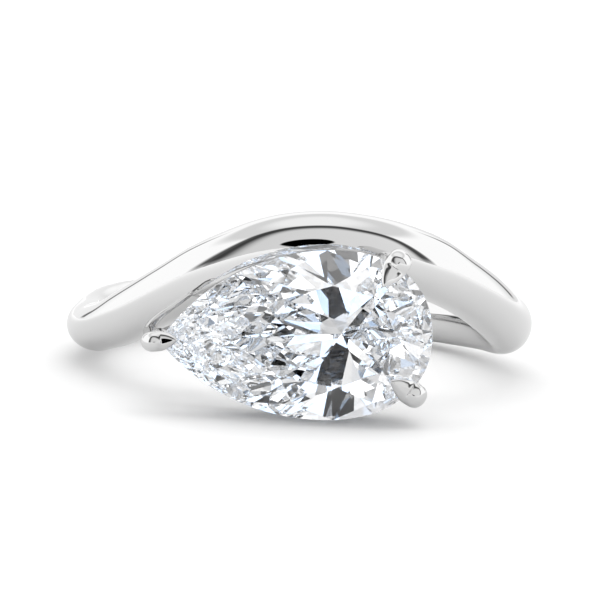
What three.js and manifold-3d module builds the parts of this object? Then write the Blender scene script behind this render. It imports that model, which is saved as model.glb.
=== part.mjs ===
// East west ring: a polished white metal band that swoops over a pear cut stone lying sideways,
// held by three claws on a small open basket. Millimetres, +Z up, lying as it rests.
//
// Ring frame: the origin is the middle of the finger hole, Z runs along the finger, the stone faces
// -Y and its round end points to +X. Angles go round the finger from the stone towards +X.
import * as THREE from 'three';
import { ConvexHull } from 'three/addons/math/ConvexHull.js';
import { mergeVertices } from 'three/addons/utils/BufferGeometryUtils.js';
import Module from 'manifold-3d';

// Finger hole and band.
const FINGER_RADIUS = 8.25;
const CREST_HEIGHT = 5.7;
const BAND_WIDTH = 2.6;
const BAND_DOME = 1.25;
const BAND_COMFORT = 0.7;
const BAND_STATIONS = 96;
const BAND_SIDES = 20;

// Pear cut stone: widest line, round end, straight-ish tail, heights.
const STONE_WIDTH = 7.22;
const STONE_HEAD = 4.35;
const STONE_TAIL = 7.26;
const STONE_FULLNESS = 2.2;
const WIDEST_BACK = 0.5;
const TABLE_SHARE = 0.6;
const CROWN_HEIGHT = 1.05;
const STAR_SHARE = 0.5;
const GIRDLE_THICKNESS = 0.22;
const PAVILION_DEPTH = 3;
const LOWER_SHARE = 0.8;

// Where the stone sits in the ring.
const CULET_ACROSS = 1.78;
const CULET_RAISED = 0.48;
const STONE_TURN = 4.3;
const CULET_CLEARANCE = 0.6;

// Basket: gallery rail under the girdle, small base rail, claws.
const RAIL_RADIUS = 0.3;
const RAIL_DROP = 1.75;
const RAIL_INSET = 0.36;
const BASE_RAIL_RADIUS = 0.38;
const BASE_RAIL_SHARE = 0.5;
const BASE_CLEARANCE = 0.4;
const CLAW_WIDTH = 1.05;
const CLAW_THICKNESS = 0.5;
const CLAW_REACH = 1;
const CLAW_STAND_OFF = 0.36;
const LEG_RADIUS = 0.36;
const POST_RADIUS = 0.32;
const POST_DIP = 0.38;
const POST_FOOT_ANGLE = -46;
const SEAT_GAP = 0.08;

// Band by angle: upper edge over the middle plane as a share of CREST_HEIGHT, height of the
// section as a share of BAND_WIDTH, and how much longer its lower half is than its upper half.
const BAND_TABLE = [
  { angle: -180, edge: 0.2, width: 0.84, under: 0 },
  { angle: -150, edge: 0.212, width: 0.86, under: 0 },
  { angle: -130, edge: 0.225, width: 0.88, under: 0 },
  { angle: -112, edge: 0.197, width: 0.87, under: 0 },
  { angle: -97, edge: 0.138, width: 0.842, under: 0 },
  { angle: -85, edge: 0.121, width: 0.83, under: 0 },
  { angle: -76, edge: 0.124, width: 0.815, under: 0 },
  { angle: -65, edge: 0.184, width: 0.85, under: 0 },
  { angle: -56, edge: 0.29, width: 0.971, under: 0 },
  { angle: -48, edge: 0.396, width: 1.028, under: 0 },
  { angle: -40, edge: 0.515, width: 1.02, under: 0.12 },
  { angle: -31, edge: 0.662, width: 1.02, under: 0.36 },
  { angle: -22, edge: 0.783, width: 1.02, under: 0.46 },
  { angle: -13, edge: 0.884, width: 1.02, under: 0.5 },
  { angle: -4, edge: 0.946, width: 1.02, under: 0.5 },
  { angle: 6, edge: 0.971, width: 1.02, under: 0.46 },
  { angle: 15, edge: 0.957, width: 1.04, under: 0.34 },
  { angle: 24, edge: 0.92, width: 1.08, under: 0.12 },
  { angle: 33, edge: 0.856, width: 1.13, under: 0 },
  { angle: 41, edge: 0.781, width: 1.12, under: 0 },
  { angle: 50, edge: 0.661, width: 1.06, under: 0 },
  { angle: 60, edge: 0.541, width: 1.05, under: 0 },
  { angle: 70, edge: 0.426, width: 1.03, under: 0 },
  { angle: 80, edge: 0.338, width: 1.02, under: 0 },
  { angle: 90, edge: 0.3, width: 1.02, under: 0 },
  { angle: 102, edge: 0.256, width: 0.98, under: 0 },
  { angle: 116, edge: 0.23, width: 0.92, under: 0 },
  { angle: 132, edge: 0.22, width: 0.886, under: 0 },
  { angle: 152, edge: 0.21, width: 0.83, under: 0 },
];

// Main facets round the pear, as a turn from the round end (0) over the widest line (0.5) to the
// point (1) and so back along the lower side (to 2).
const CROWN_TURNS = [0, 0.25, 0.5, 0.75, 1, 1.25, 1.5, 1.75];
const UNDER_TURNS = [0, 0.25, 0.5, 0.75, 1.25, 1.5, 1.75];
const OUTLINE_STEPS = 80;

// Claws: where they stand on the outline, how far they turn off square (degrees), width as a share
// of CLAW_WIDTH and reach over the stone as a share of CLAW_REACH.
const CLAWS = [
  { name: 'upper', turn: 0.28, aim: -2, width: 0.98, reach: 1 },
  { name: 'lower', turn: -0.235, aim: 12, width: 0.98, reach: 1 },
  { name: 'point', turn: 1, aim: 4, width: 0.8, reach: 0.84 },
];

const wasm = await Module();
wasm.setup();

const radians = (degrees) => degrees * Math.PI / 180;

// Smooth closed curve through one column of the band table.
function bandValue(column, angle) {
  const rows = BAND_TABLE;
  const count = rows.length;
  const at = (i) => rows[(i + count) % count][column];
  const where = (i) => rows[(i + count) % count].angle + 360 * Math.floor(i / count);
  const wrapped = angle < rows[0].angle ? angle + 360 : angle;
  let i = 0;
  while (i < count - 1 && where(i + 1) <= wrapped) {
    i += 1;
  }
  const slope = (k) => (at(k + 1) - at(k - 1)) / (where(k + 1) - where(k - 1));
  const span = where(i + 1) - where(i);
  const t = (wrapped - where(i)) / span;
  const rise = (at(i + 1) - at(i)) * t * t * (3 - 2 * t);
  const lead = slope(i) * span * t * (1 - t) * (1 - t);
  const trail = slope(i + 1) * span * t * t * (t - 1);
  return at(i) + rise + lead + trail;
}

// Section of the band at one angle, as distance from the finger hole's middle and height: a dome
// outside, a shallower one inside, with its upper edge on the table's height.
function bandSection(angle) {
  const half = 0.5 * BAND_WIDTH * bandValue('width', angle);
  const middle = CREST_HEIGHT * bandValue('edge', angle) - half;
  const longer = 1 + Math.max(bandValue('under', angle), 0);
  const points = [];
  for (let k = 0; k < BAND_SIDES; k += 1) {
    const turn = 2 * Math.PI * k / BAND_SIDES;
    const c = Math.cos(turn);
    const depth = BAND_COMFORT + (c >= 0 ? BAND_DOME * c : BAND_COMFORT * c);
    const rise = half * Math.sin(turn);
    points.push([FINGER_RADIUS + depth, middle + (rise < 0 ? rise * longer : rise)]);
  }
  return points;
}

// Point at a radius, height and angle round the finger.
function round(radius, height, angle) {
  const a = radians(angle);
  return new THREE.Vector3(radius * Math.sin(a), -radius * Math.cos(a), height);
}

// Closed surface from rows of points: each row is a loop, and the rows close on themselves or end
// in a flat fan.
function loft(rows, closed) {
  const sides = rows[0].length;
  const position = [];
  const index = [];
  rows.forEach((row) => row.forEach((p) => position.push(p.x, p.y, p.z)));
  const last = closed ? rows.length : rows.length - 1;
  for (let i = 0; i < last; i += 1) {
    for (let k = 0; k < sides; k += 1) {
      const a = i * sides + k;
      const b = i * sides + (k + 1) % sides;
      const c = ((i + 1) % rows.length) * sides + (k + 1) % sides;
      const d = ((i + 1) % rows.length) * sides + k;
      index.push(a, b, c, a, c, d);
    }
  }
  if (!closed) {
    [0, rows.length - 1].forEach((i) => {
      const centre = new THREE.Vector3();
      rows[i].forEach((p) => centre.addScaledVector(p, 1 / sides));
      const hub = position.length / 3;
      position.push(centre.x, centre.y, centre.z);
      for (let k = 0; k < sides; k += 1) {
        const a = i * sides + k;
        const b = i * sides + (k + 1) % sides;
        index.push(...(i === 0 ? [hub, b, a] : [hub, a, b]));
      }
    });
  }
  const geometry = new THREE.BufferGeometry();
  geometry.setAttribute('position', new THREE.Float32BufferAttribute(position, 3));
  geometry.setIndex(index);
  return geometry;
}

function signedVolume(geometry) {
  const p = geometry.getAttribute('position');
  const index = geometry.getIndex();
  const a = new THREE.Vector3();
  const b = new THREE.Vector3();
  const c = new THREE.Vector3();
  let sum = 0;
  for (let i = 0; i < index.count; i += 3) {
    a.fromBufferAttribute(p, index.getX(i));
    b.fromBufferAttribute(p, index.getX(i + 1));
    c.fromBufferAttribute(p, index.getX(i + 2));
    sum += a.dot(b.cross(c)) / 6;
  }
  return sum;
}

// Solid of a closed surface, whichever way round its faces were written.
function solid(geometry) {
  const bare = geometry.clone();
  bare.deleteAttribute('normal');
  bare.deleteAttribute('uv');
  const merged = mergeVertices(bare, 1e-5);
  const index = Array.from(merged.getIndex().array);
  if (signedVolume(merged) < 0) {
    for (let i = 0; i < index.length; i += 3) {
      [index[i + 1], index[i + 2]] = [index[i + 2], index[i + 1]];
    }
  }
  return new wasm.Manifold(new wasm.Mesh({
    numProp: 3,
    vertProperties: new Float32Array(merged.getAttribute('position').array),
    triVerts: new Uint32Array(index),
  }));
}

function geometryOf(manifold) {
  const mesh = manifold.getMesh();
  const geometry = new THREE.BufferGeometry();
  geometry.setAttribute('position', new THREE.BufferAttribute(new Float32Array(mesh.vertProperties), 3));
  geometry.setIndex(new THREE.BufferAttribute(new Uint32Array(mesh.triVerts), 1));
  geometry.computeVertexNormals();
  return geometry;
}

// The pear outline in the stone's own plane: along (to the round end) and across. The round end is
// a full ellipse, each side of the tail is an arc that leaves the widest line square.
const HALF_WIDTH = STONE_WIDTH / 2;
const TAIL_RADIUS = (STONE_TAIL * STONE_TAIL + HALF_WIDTH * HALF_WIDTH) / STONE_WIDTH;
const TAIL_SWEEP = Math.asin(STONE_TAIL / TAIL_RADIUS);

function pear(turn) {
  const around = turn > 1 ? turn - 2 : turn;
  const size = Math.abs(around);
  const side = around < 0 ? -1 : 1;
  if (size <= 0.5) {
    const a = Math.PI * size;
    const along = STONE_HEAD * Math.pow(Math.max(Math.cos(a), 0), 2 / STONE_FULLNESS);
    const across = HALF_WIDTH * Math.pow(Math.sin(a), 2 / STONE_FULLNESS);
    return new THREE.Vector2(along - WIDEST_BACK, side * across);
  }
  const a = TAIL_SWEEP * (size - 0.5) * 2;
  const along = -TAIL_RADIUS * Math.sin(a);
  const across = HALF_WIDTH - TAIL_RADIUS * (1 - Math.cos(a));
  return new THREE.Vector2(along - WIDEST_BACK, side * Math.max(across, 0));
}

// Outward direction of the outline at a turn.
function pearNormal(turn) {
  const step = 0.002;
  const ahead = pear(turn + step).sub(pear(turn - step));
  const normal = new THREE.Vector2(ahead.y, -ahead.x).normalize();
  return normal.dot(pear(turn)) < 0 ? normal.negate() : normal;
}

const GIRDLE_RADIUS = FINGER_RADIUS + CULET_CLEARANCE + PAVILION_DEPTH;

// From the stone's plane (along, across, height over the girdle's lower edge) into the ring frame.
function fromStone(along, across, height) {
  const a = radians(STONE_TURN);
  return new THREE.Vector3(
    CULET_ACROSS + along * Math.cos(a) - across * Math.sin(a),
    -GIRDLE_RADIUS - height,
    CULET_RAISED + along * Math.sin(a) + across * Math.cos(a),
  );
}

// Turn halfway from one main facet to the next, and the turn of the next.
function following(turns, i) {
  const next = i + 1 < turns.length ? turns[i + 1] : turns[0] + 2;
  return { half: (turns[i] + next) / 2, next };
}

// One half of the stone, from the girdle to the table or to the culet: main facets that rest on
// the outline at their turns, and between them the meeting points of the halves.
function meets(turns, depth, share, inset) {
  const mains = turns.map((turn) => {
    const foot = pear(turn);
    const normal = pearNormal(turn);
    const reach = normal.dot(foot) * (1 - inset);
    return { foot, normal, slope: depth / reach };
  });
  return mains.map((main, i) => {
    const next = mains[(i + 1) % mains.length];
    const level = depth * share;
    const a = main.normal.dot(main.foot) - level / main.slope;
    const b = next.normal.dot(next.foot) - level / next.slope;
    const det = main.normal.x * next.normal.y - main.normal.y * next.normal.x;
    return new THREE.Vector3(
      (a * next.normal.y - b * main.normal.y) / det,
      (b * main.normal.x - a * next.normal.x) / det,
      level,
    );
  });
}

// The cut stone grown by a margin: table, stars, mains and halves on the crown, a plain girdle,
// mains and halves on the pavilion.
function stoneGeometry(grow) {
  const planes = [];
  const vector = (p, h) => new THREE.Vector3(p.x, p.y, h);
  const before = (list, i) => list[(i + list.length - 1) % list.length];
  const add = (a, b, c) => {
    const normal = b.clone().sub(a).cross(c.clone().sub(a)).normalize();
    const middle = new THREE.Vector3(0, 0, 0);
    const plane = new THREE.Plane().setFromNormalAndCoplanarPoint(normal, a);
    if (plane.distanceToPoint(middle) > 0) {
      plane.negate();
    }
    plane.constant -= grow;
    planes.push(plane);
  };
  const height = GIRDLE_THICKNESS + CROWN_HEIGHT;
  const stars = meets(CROWN_TURNS, CROWN_HEIGHT, 1 - STAR_SHARE, TABLE_SHARE);
  stars.forEach((p) => {
    p.z += GIRDLE_THICKNESS;
  });
  CROWN_TURNS.forEach((turn, i) => {
    const { half, next } = following(CROWN_TURNS, i);
    const corner = vector(pear(turn).multiplyScalar(TABLE_SHARE), height);
    const nextCorner = vector(pear(next).multiplyScalar(TABLE_SHARE), height);
    const foot = vector(pear(half), GIRDLE_THICKNESS);
    add(corner, nextCorner, stars[i]);
    add(stars[i], before(stars, i), corner);
    add(stars[i], vector(pear(turn), GIRDLE_THICKNESS), foot);
    add(stars[i], foot, vector(pear(next), GIRDLE_THICKNESS));
  });
  const lows = meets(UNDER_TURNS, PAVILION_DEPTH, LOWER_SHARE, 0);
  lows.forEach((p) => {
    p.z = -p.z;
  });
  UNDER_TURNS.forEach((turn, i) => {
    const { half, next } = following(UNDER_TURNS, i);
    const foot = vector(pear(half), 0);
    add(lows[i], before(lows, i), new THREE.Vector3(0, 0, -PAVILION_DEPTH));
    add(lows[i], vector(pear(turn), 0), foot);
    add(lows[i], foot, vector(pear(next), 0));
  });
  planes.push(new THREE.Plane(new THREE.Vector3(0, 0, 1), -(height + grow)));
  for (let k = 0; k < OUTLINE_STEPS; k += 1) {
    const p = pear(2 * k / OUTLINE_STEPS);
    add(vector(p, 0), vector(pear(2 * ((k + 1) % OUTLINE_STEPS) / OUTLINE_STEPS), 0), vector(p, 1));
  }
  return cutBy(planes);
}

// The convex body inside a set of planes: corners where three planes meet, then their hull.
function cutBy(planes) {
  const corners = [];
  const seen = new Set();
  const n = planes.length;
  const cross = new THREE.Vector3();
  for (let i = 0; i < n; i += 1) {
    for (let j = i + 1; j < n; j += 1) {
      cross.crossVectors(planes[i].normal, planes[j].normal);
      if (cross.lengthSq() > 1e-10) {
        for (let k = j + 1; k < n; k += 1) {
          const det = cross.dot(planes[k].normal);
          if (Math.abs(det) > 1e-6) {
            const a = new THREE.Vector3().crossVectors(planes[j].normal, planes[k].normal);
            const b = new THREE.Vector3().crossVectors(planes[k].normal, planes[i].normal);
            const corner = a.multiplyScalar(-planes[i].constant);
            corner.addScaledVector(b, -planes[j].constant);
            corner.addScaledVector(cross, -planes[k].constant);
            corner.divideScalar(det);
            const inside = planes.every((plane) => plane.distanceToPoint(corner) < 1e-6);
            const key = corner.toArray().map((v) => Math.round(v * 2000)).join(' ');
            if (inside && !seen.has(key)) {
              seen.add(key);
              corners.push(corner);
            }
          }
        }
      }
    }
  }
  return corners;
}

// Closed surface of the hull of some corners.
function hullGeometry(corners) {
  const hull = new ConvexHull().setFromPoints(corners);
  const position = [];
  hull.faces.forEach((face) => {
    let edge = face.edge;
    const loop = [];
    do {
      loop.push(edge.head().point);
      edge = edge.next;
    } while (edge !== face.edge);
    for (let k = 1; k < loop.length - 1; k += 1) {
      [loop[0], loop[k], loop[k + 1]].forEach((p) => position.push(p.x, p.y, p.z));
    }
  });
  const geometry = new THREE.BufferGeometry();
  geometry.setAttribute('position', new THREE.Float32BufferAttribute(position, 3));
  return mergeVertices(geometry, 1e-5);
}

function placedStone(grow) {
  return hullGeometry(stoneGeometry(grow).map((p) => fromStone(p.x, p.y, p.z)));
}

// Closed wire along a copy of the pear outline drawn in or scaled.
function pearWire(share, inset, height, radius) {
  const points = [];
  const count = 48;
  for (let i = 0; i < count; i += 1) {
    const turn = -1 + 2 * (i + 0.5) / count;
    const p = pear(turn).addScaledVector(pearNormal(turn), -inset).multiplyScalar(share);
    points.push(fromStone(p.x, p.y, height));
  }
  const path = new THREE.CatmullRomCurve3(points, true, 'centripetal');
  return new THREE.TubeGeometry(path, 56, radius, 8, true);
}

// Round post along a few points.
function post(points, radius) {
  const shape = new THREE.Shape().absarc(0, 0, radius, 0, 2 * Math.PI, false);
  const path = new THREE.CatmullRomCurve3(points, false, 'centripetal');
  return new THREE.ExtrudeGeometry(shape, { steps: 10, curveSegments: 10, extrudePath: path });
}

// Claw: a post that rises outside the girdle, bends over it and ends in a pointed drop with a soft
// ridge. Rows: outward offset, height, width and thickness, in the claw's own shares.
const CLAW_ROWS = [
  { out: 0.0, height: -1.0, width: 0.93, thick: 1.5 },
  { out: 0.4, height: -0.5, width: 0.93, thick: 1.45 },
  { out: 1.0, height: 0.0, width: 0.95, thick: 1.36 },
  { out: 1.02, height: 0.5, width: 0.97, thick: 1.34 },
  { out: 0.7, height: 0.95, width: 1.0, thick: 1.2 },
  { out: -0.9, height: 1.0, width: 1.0, thick: 1.0 },
  { out: -2.6, height: 1.0, width: 0.88, thick: 0.88 },
  { out: -4.6, height: 1.0, width: 0.66, thick: 0.72 },
  { out: -6.4, height: 1.0, width: 0.36, thick: 0.5 },
  { out: -7.7, height: 1.0, width: 0.08, thick: 0.2 },
];

// Height of the crown over the girdle's lower edge, a distance in from the outline.
function crownHeight(inset, turn) {
  const foot = pear(turn);
  const slope = CROWN_HEIGHT / (pearNormal(turn).dot(foot) * (1 - TABLE_SHARE));
  return GIRDLE_THICKNESS + Math.min(inset * slope, CROWN_HEIGHT);
}

function claw({ turn, aim, width, reach }) {
  const foot = pear(turn);
  const normal = pearNormal(turn).rotateAround(new THREE.Vector2(), radians(aim));
  const side = new THREE.Vector2(-normal.y, normal.x);
  const unit = CLAW_REACH * reach / 7.7;
  const centres = CLAW_ROWS.map((row) => {
    const out = row.out > 0 ? CLAW_STAND_OFF * row.out : unit * row.out;
    const over = crownHeight(Math.max(-out, 0), turn);
    const rise = row.height < 0 ? RAIL_DROP * row.height : row.height * over;
    const lift = row.height > 0.9 ? 0.46 * CLAW_THICKNESS * row.thick : 0;
    return { out, rise: rise + lift };
  });
  const rows = CLAW_ROWS.map((row, i) => {
    const a = centres[Math.max(i - 1, 0)];
    const b = centres[Math.min(i + 1, centres.length - 1)];
    const run = Math.hypot(b.out - a.out, b.rise - a.rise);
    const outward = { out: (b.rise - a.rise) / run, rise: -(b.out - a.out) / run };
    const loop = [];
    const sides = 10;
    for (let k = 0; k < sides; k += 1) {
      const t = 2 * Math.PI * k / sides;
      const sideways = 0.5 * CLAW_WIDTH * width * row.width * Math.cos(t);
      const sharp = Math.sin(t) > 0 ? Math.pow(Math.sin(t), 1.35) : Math.sin(t);
      const outOf = 0.5 * CLAW_THICKNESS * row.thick * sharp;
      const out = centres[i].out + outward.out * outOf;
      const height = centres[i].rise + outward.rise * outOf;
      const p = foot.clone().addScaledVector(normal, out).addScaledVector(side, sideways);
      loop.push(fromStone(p.x, p.y, height));
    }
    return loop;
  });
  return loft(rows, false);
}

// Post under a claw, from the gallery rail to the base rail.
const BASE_HEIGHT = -(GIRDLE_RADIUS - FINGER_RADIUS - BASE_CLEARANCE - BASE_RAIL_RADIUS);

function leg(turn) {
  const high = pear(turn);
  const low = pear(turn).multiplyScalar(BASE_RAIL_SHARE);
  const middle = high.clone().lerp(low, 0.5);
  return post([
    fromStone(high.x, high.y, -0.75 * RAIL_DROP),
    fromStone(middle.x, middle.y, 0.5 * (BASE_HEIGHT - RAIL_DROP)),
    fromStone(low.x, low.y, BASE_HEIGHT),
  ], LEG_RADIUS);
}

// Post from inside the band's lower edge to the claw at the stone's point.
function pointPost() {
  const section = bandSection(POST_FOOT_ANGLE);
  const low = Math.min(...section.map((p) => p[1]));
  const deep = FINGER_RADIUS + BAND_COMFORT;
  const tip = pear(1);
  return post([
    round(deep, low + 0.8 * POST_RADIUS, POST_FOOT_ANGLE),
    fromStone(tip.x - CLAW_STAND_OFF, -POST_DIP, -1.6 * RAIL_DROP),
    fromStone(tip.x - 0.5 * CLAW_STAND_OFF, 0, -0.6 * RAIL_DROP),
  ], POST_RADIUS);
}

// Band, basket and claws: soldered, so one solid.
const bandRows = [];
for (let i = 0; i < BAND_STATIONS; i += 1) {
  const angle = -180 + 360 * i / BAND_STATIONS;
  bandRows.push(bandSection(angle).map((p) => round(p[0], p[1], angle)));
}
const band = solid(loft(bandRows, true));
const bore = new THREE.CylinderGeometry(FINGER_RADIUS, FINGER_RADIUS, 4 * CREST_HEIGHT, 96);
bore.rotateX(Math.PI / 2);
let basket = solid(pearWire(1, RAIL_INSET, -RAIL_DROP, RAIL_RADIUS));
basket = basket.add(solid(pearWire(BASE_RAIL_SHARE, 0, BASE_HEIGHT, BASE_RAIL_RADIUS)));
CLAWS.forEach((row) => {
  basket = basket.add(solid(claw(row))).add(solid(leg(row.turn)));
});
basket = basket.add(solid(pointPost())).subtract(solid(bore));
const metal = band.add(basket).subtract(solid(placedStone(SEAT_GAP)));

const metalGeometry = geometryOf(metal);
const stoneShape = placedStone(0);

// Lying as it rests: on the face of the hull that is below the centre of mass.
const METAL_DENSITY = 0.0156;
const STONE_DENSITY = 0.00352;

function massCentre(geometry, density, sum) {
  const p = geometry.getAttribute('position');
  const index = geometry.getIndex();
  const a = new THREE.Vector3();
  const b = new THREE.Vector3();
  const c = new THREE.Vector3();
  for (let i = 0; i < index.count; i += 3) {
    a.fromBufferAttribute(p, index.getX(i));
    b.fromBufferAttribute(p, index.getX(i + 1));
    c.fromBufferAttribute(p, index.getX(i + 2));
    const part = density * a.dot(b.clone().cross(c)) / 6;
    sum.mass += part;
    sum.moment.addScaledVector(a.add(b).add(c), part / 4);
  }
}

function restTurn(geometries, centre) {
  const points = [];
  geometries.forEach((geometry) => {
    const p = geometry.getAttribute('position');
    for (let i = 0; i < p.count; i += 1) {
      points.push(new THREE.Vector3().fromBufferAttribute(p, i));
    }
  });
  const hull = new ConvexHull().setFromPoints(points);
  const down = new THREE.Vector3(0, 0, -1);
  const ray = new THREE.Ray(centre, new THREE.Vector3());
  let best = null;
  hull.faces.forEach((face) => {
    ray.direction.copy(face.normal);
    const plane = new THREE.Plane().setFromNormalAndCoplanarPoint(face.normal, face.midpoint);
    const hit = ray.intersectPlane(plane, new THREE.Vector3());
    let edge = face.edge;
    let inside = hit !== null;
    do {
      const from = edge.tail().point;
      const along = edge.head().point.clone().sub(from);
      const sign = along.cross(hit.clone().sub(from)).dot(face.normal);
      inside = inside && sign > -1e-9;
      edge = edge.next;
    } while (edge !== face.edge);
    if (inside && (best === null || face.normal.dot(down) > best.dot(down))) {
      best = face.normal.clone();
    }
  });
  return new THREE.Quaternion().setFromUnitVectors(best.normalize(), down);
}

const weight = { mass: 0, moment: new THREE.Vector3() };
massCentre(metalGeometry, METAL_DENSITY, weight);
massCentre(stoneShape, STONE_DENSITY, weight);
const massPoint = weight.moment.divideScalar(weight.mass);

const whiteMetal = new THREE.MeshStandardMaterial({ color: 0xdcdcde, roughness: 0.08, metalness: 1 });
const clearStone = new THREE.MeshStandardMaterial({ color: 0xf4f6fb, roughness: 0.02, metalness: 0 });

const ringMetal = new THREE.Mesh(metalGeometry, whiteMetal);
ringMetal.name = 'ring_metal';
const pearStone = new THREE.Mesh(stoneShape, clearStone);
pearStone.name = 'pear_stone';

const ring = new THREE.Group();
ring.add(ringMetal, pearStone);
ring.quaternion.copy(restTurn([metalGeometry, stoneShape], massPoint));
ring.updateMatrixWorld(true);
const box = new THREE.Box3();
ring.traverse((child) => {
  if (child.isMesh) {
    box.union(new THREE.Box3().setFromObject(child, true));
  }
});
ring.position.set(
  -(box.min.x + box.max.x) / 2,
  -(box.min.y + box.max.y) / 2,
  -box.min.z,
);
ring.updateMatrixWorld(true);

export default ring;
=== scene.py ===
"""East west ring: a polished white metal band that swoops over a pear cut stone lying sideways,
held by three drop shaped claws on an open basket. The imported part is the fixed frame.

Shapes are worked out in the ring frame, in metres: the origin is the middle of the finger hole,
Z runs along the finger, the stone faces -Y and its round end points to +X. Angles go round the
finger from the stone towards +X. The resting tilt then turns every point into the row frame."""

import bmesh
import bpy
import numpy as np
from bpy.props import FloatProperty, FloatVectorProperty, PointerProperty
from mathutils import Matrix, Vector


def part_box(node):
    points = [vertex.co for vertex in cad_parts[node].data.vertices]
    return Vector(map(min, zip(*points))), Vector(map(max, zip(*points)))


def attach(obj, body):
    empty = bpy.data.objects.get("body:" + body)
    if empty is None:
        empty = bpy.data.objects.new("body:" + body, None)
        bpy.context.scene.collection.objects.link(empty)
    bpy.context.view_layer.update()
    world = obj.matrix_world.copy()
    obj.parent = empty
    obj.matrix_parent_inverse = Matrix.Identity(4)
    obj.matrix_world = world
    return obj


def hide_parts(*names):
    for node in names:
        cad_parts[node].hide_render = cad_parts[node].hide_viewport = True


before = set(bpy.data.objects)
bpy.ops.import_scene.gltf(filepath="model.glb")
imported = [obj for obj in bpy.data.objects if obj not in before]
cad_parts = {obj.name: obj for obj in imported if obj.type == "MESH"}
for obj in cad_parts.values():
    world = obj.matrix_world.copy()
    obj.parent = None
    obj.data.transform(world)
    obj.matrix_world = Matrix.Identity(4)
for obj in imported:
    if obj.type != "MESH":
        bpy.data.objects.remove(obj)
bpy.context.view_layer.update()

bl_info = {
    "name": "East West Ring",
    "version": (1, 0, 0),
    "blender": (4, 5, 0),
    "location": "3D View > Sidebar > Ring",
    "description": "Swooping white metal band with a pear cut stone set sideways",
    "category": "Add Mesh",
}

# Band by angle in degrees: upper edge over the middle plane as a share of the crest height, height
# of the section as a share of the band width, and how much longer its lower half is.
BAND_COLUMNS = ("angle", "edge", "width", "under")
BAND_TABLE = np.array([
    (-180, 0.2, 0.84, 0),
    (-150, 0.212, 0.86, 0),
    (-130, 0.225, 0.88, 0),
    (-112, 0.197, 0.87, 0),
    (-97, 0.138, 0.842, 0),
    (-85, 0.121, 0.83, 0),
    (-76, 0.124, 0.815, 0),
    (-65, 0.184, 0.85, 0),
    (-56, 0.29, 0.971, 0),
    (-48, 0.396, 1.028, 0),
    (-40, 0.515, 1.02, 0.12),
    (-31, 0.662, 1.02, 0.36),
    (-22, 0.783, 1.02, 0.46),
    (-13, 0.884, 1.02, 0.5),
    (-4, 0.946, 1.02, 0.5),
    (6, 0.971, 1.02, 0.46),
    (15, 0.957, 1.04, 0.34),
    (24, 0.92, 1.08, 0.12),
    (33, 0.856, 1.13, 0),
    (41, 0.781, 1.12, 0),
    (50, 0.661, 1.06, 0),
    (60, 0.541, 1.05, 0),
    (70, 0.426, 1.03, 0),
    (80, 0.338, 1.02, 0),
    (90, 0.3, 1.02, 0),
    (102, 0.256, 0.98, 0),
    (116, 0.23, 0.92, 0),
    (132, 0.22, 0.886, 0),
    (152, 0.21, 0.83, 0),
])
BAND_STATIONS = 480
BAND_SIDES = 96
SECTION_SAMPLES = 60

# Main facets round the pear: 0 is the round end, 0.5 the widest line, 1 the point, and so back.
CROWN_TURNS = np.array([0, 0.25, 0.5, 0.75, 1, 1.25, 1.5, 1.75])
UNDER_TURNS = np.array([0, 0.25, 0.5, 0.75, 1.25, 1.5, 1.75])

# Claws: turn on the stone's outline, degrees off square to it, width as a share of the claw width
# and reach as a share of the claw reach.
CLAWS = {
    "upper": (0.28, -2, 0.98, 1),
    "lower": (-0.235, 12, 0.98, 1),
    "point": (1, 4, 0.8, 0.84),
}
# Rows up a claw. Outward offset: a share of the stand-off outside the outline, steps of the reach
# inside it. Height: a share of the rail's drop below the girdle, of the crown above it. Then width
# and thickness as shares of the claw's.
CLAW_ROWS = np.array([
    (0.0, -1.0, 0.93, 1.5),
    (0.4, -0.5, 0.93, 1.45),
    (1.0, 0.0, 0.95, 1.36),
    (1.02, 0.5, 0.97, 1.34),
    (0.7, 0.95, 1.0, 1.2),
    (-0.9, 1.0, 1.0, 1.0),
    (-2.6, 1.0, 0.88, 0.88),
    (-4.6, 1.0, 0.66, 0.72),
    (-6.4, 1.0, 0.36, 0.5),
    (-7.7, 1.0, 0.08, 0.2),
])


def length(name, value, text):
    """A size in metres for a property group."""
    return FloatProperty(name=name, default=value, min=0, precision=6, unit="LENGTH", description=text)


def colour(name, value, text):
    """A colour for a property group."""
    return FloatVectorProperty(name=name, default=value, size=3, min=0, max=1, subtype="COLOR",
                               description=text)


class RingSizes(bpy.types.PropertyGroup):
    """Sizes of the band, the stone and its basket."""

    finger_radius: length("Finger radius", 0.00825, "Radius of the finger hole")
    crest_height: length("Crest height", 0.0057, "Height of the swoop over the middle plane")
    band_width: length("Band width", 0.0026, "Height of the band's section")
    band_dome: length("Band dome", 0.00125, "Depth of the section outside its widest line")
    band_comfort: length("Comfort curve", 0.0007, "Depth of the section inside its widest line")
    stone_width: length("Stone width", 0.00722, "Widest part of the pear")
    stone_head: length("Stone head", 0.00435, "From the widest line to the round end")
    stone_tail: length("Stone tail", 0.00726, "From the widest line to the point")
    crown_height: length("Crown height", 0.00105, "From the girdle to the table")
    girdle: length("Girdle", 0.00022, "Thickness of the stone's edge")
    pavilion_depth: length("Pavilion depth", 0.003, "From the girdle down to the culet")
    claw_width: length("Claw width", 0.00105, "Widest part of a claw")
    claw_thickness: length("Claw thickness", 0.0006, "Thickness of a claw over the stone")
    claw_reach: length("Claw reach", 0.001, "How far a claw reaches over the stone")
    rail_radius: length("Gallery rail", 0.0003, "Radius of the rail under the girdle")


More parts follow.
